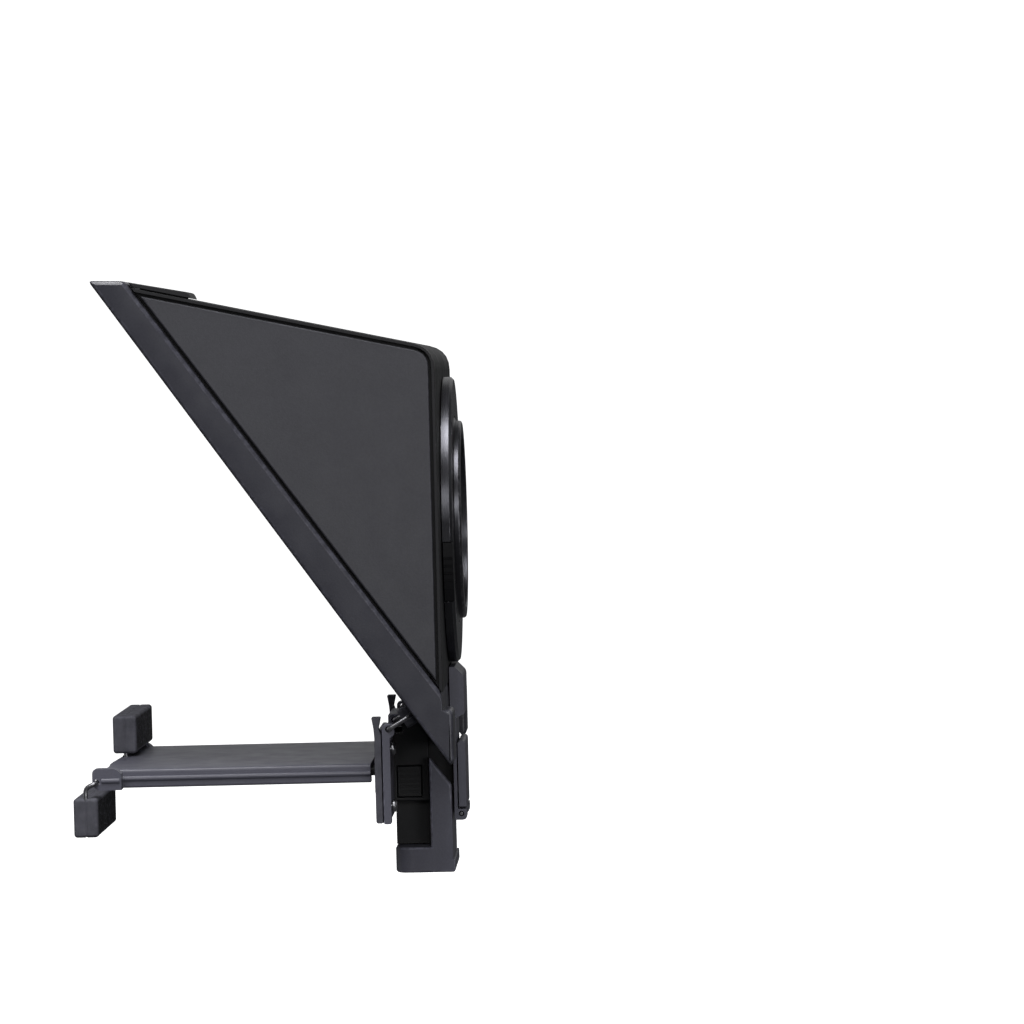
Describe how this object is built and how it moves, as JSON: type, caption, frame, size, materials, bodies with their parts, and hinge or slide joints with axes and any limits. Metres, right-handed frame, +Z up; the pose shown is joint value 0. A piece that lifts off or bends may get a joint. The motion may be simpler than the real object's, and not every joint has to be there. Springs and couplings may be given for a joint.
{
  "type": "teleprompter",
  "caption": "Wedge-shaped hood with a slanted half-mirror, a screw-in lens ring behind, and a sprung phone holder with flip-over wire fingers below.",
  "frame": {"origin": "centre of the adapter ring's rear face, on the lens axis", "axes": "+Y along the lens axis to the rear, towards the camera; +Z up; +X the right-hand side seen from the camera"},
  "size_m": [0.13, 0.1173, 0.1825],
  "materials": {
    "hood_plastic": "fine moulded texture",
    "panel_plastic": "flat matt",
    "ring_metal": "black anodised satin",
    "post_plastic": "satin moulded",
    "black_plastic": "fine texture",
    "rubber": "matt moulded",
    "steel": "bright drawn",
    "glass": "half-mirror coating"
  },
  "bodies": {
    "hood": {"front_frame": "hood_plastic", "glass_gasket": "rubber", "beam_splitter_glass": "glass", "glass_retainer": "black_plastic", "hood_shell": "black_plastic", "side_panel_right": "panel_plastic", "side_panel_left": "panel_plastic", "mount_flange": "ring_metal", "flange_nut": "ring_metal", "lens_seal": "rubber", "flange_screw_1": "steel", "flange_screw_2": "steel", "flange_screw_3": "steel", "flange_screw_4": "steel", "post_plate": "post_plastic", "post_core": "black_plastic", "foot_screw": "steel", "rear_housing": "post_plastic", "lever_pin": "steel"},
    "adapter": {"adapter_ring": "ring_metal"},
    "release": {"ring_release": "black_plastic"},
    "latch": {"frame_latch": "black_plastic"},
    "lever": {"lock_lever": "post_plastic"},
    "holder": {"slider_block": "black_plastic", "jaw_plate": "post_plastic", "jaw_pad": "rubber", "jaw_screw_1": "steel", "jaw_screw_2": "steel", "jaw_screw_3": "steel", "jaw_screw_4": "steel", "inner_tray": "black_plastic"},
    "press_right": {"button_right": "black_plastic"},
    "press_left": {"button_left": "black_plastic"},
    "tray": {"outer_tray": "post_plastic", "tray_spring_right": "steel", "tray_spring_left": "steel"},
    "finger_outer_right": {"finger_wire_outer_right": "steel", "finger_block_outer_right": "rubber"},
    "finger_outer_left": {"finger_wire_outer_left": "steel", "finger_block_outer_left": "rubber"},
    "finger_inner_right": {"finger_wire_inner_right": "steel", "finger_block_inner_right": "rubber"},
    "finger_inner_left": {"finger_wire_inner_left": "steel", "finger_block_inner_left": "rubber"}
  },
  "joints": [
    {"name": "adapter_turn", "type": "hinge", "parent": "hood", "child": "adapter", "pos_m": [0, 0, 0], "axis": [0, 1, 0], "continuous": true},
    {"name": "release_press", "type": "slide", "parent": "hood", "child": "release", "axis": [-0.9397, 0, 0.342], "range_m": [0, 0.0015], "stiffness_N_per_m": 800, "springref_m": -0.001},
    {"name": "latch_slide", "type": "slide", "parent": "hood", "child": "latch", "axis": [0, 0.9763, -0.2163], "range_m": [0, 0.003], "stiffness_N_per_m": 300, "springref_m": -0.002},
    {"name": "lever_flip", "type": "hinge", "parent": "hood", "child": "lever", "pos_m": [0, -0.0026, -0.0899], "axis": [-1, 0, 0], "range_deg": [0, 95]},
    {"name": "holder_height", "type": "slide", "parent": "hood", "child": "holder", "axis": [0, 0, 1], "range_m": [-0.0085, 0]},
    {"name": "button_right_press", "type": "slide", "parent": "holder", "child": "press_right", "axis": [-1, 0, 0], "range_m": [0, 0.0012], "stiffness_N_per_m": 600, "springref_m": -0.001},
    {"name": "button_left_press", "type": "slide", "parent": "holder", "child": "press_left", "axis": [1, 0, 0], "range_m": [0, 0.0012], "stiffness_N_per_m": 600, "springref_m": -0.001},
    {"name": "tray_open", "type": "slide", "parent": "holder", "child": "tray", "axis": [0, -1, 0], "range_m": [0, 0.022], "stiffness_N_per_m": 120, "springref_m": -0.02, "deforming": ["tray_spring_right", "tray_spring_left"]},
    {"name": "finger_outer_right_turn", "type": "hinge", "parent": "tray", "child": "finger_outer_right", "pos_m": [0, -0.1105, -0.0749], "axis": [-1, 0, 0], "range_deg": [0, 180]},
    {"name": "finger_outer_left_turn", "type": "hinge", "parent": "tray", "child": "finger_outer_left", "pos_m": [0, -0.1105, -0.0749], "axis": [1, 0, 0], "range_deg": [0, 180]},
    {"name": "finger_inner_right_turn", "type": "hinge", "parent": "holder", "child": "finger_inner_right", "pos_m": [0, -0.0226, -0.0608], "axis": [1, 0, 0], "range_deg": [0, 135]},
    {"name": "finger_inner_left_turn", "type": "hinge", "parent": "holder", "child": "finger_inner_left", "pos_m": [0, -0.0226, -0.0608], "axis": [1, 0, 0], "range_deg": [0, 135]}
  ]
}
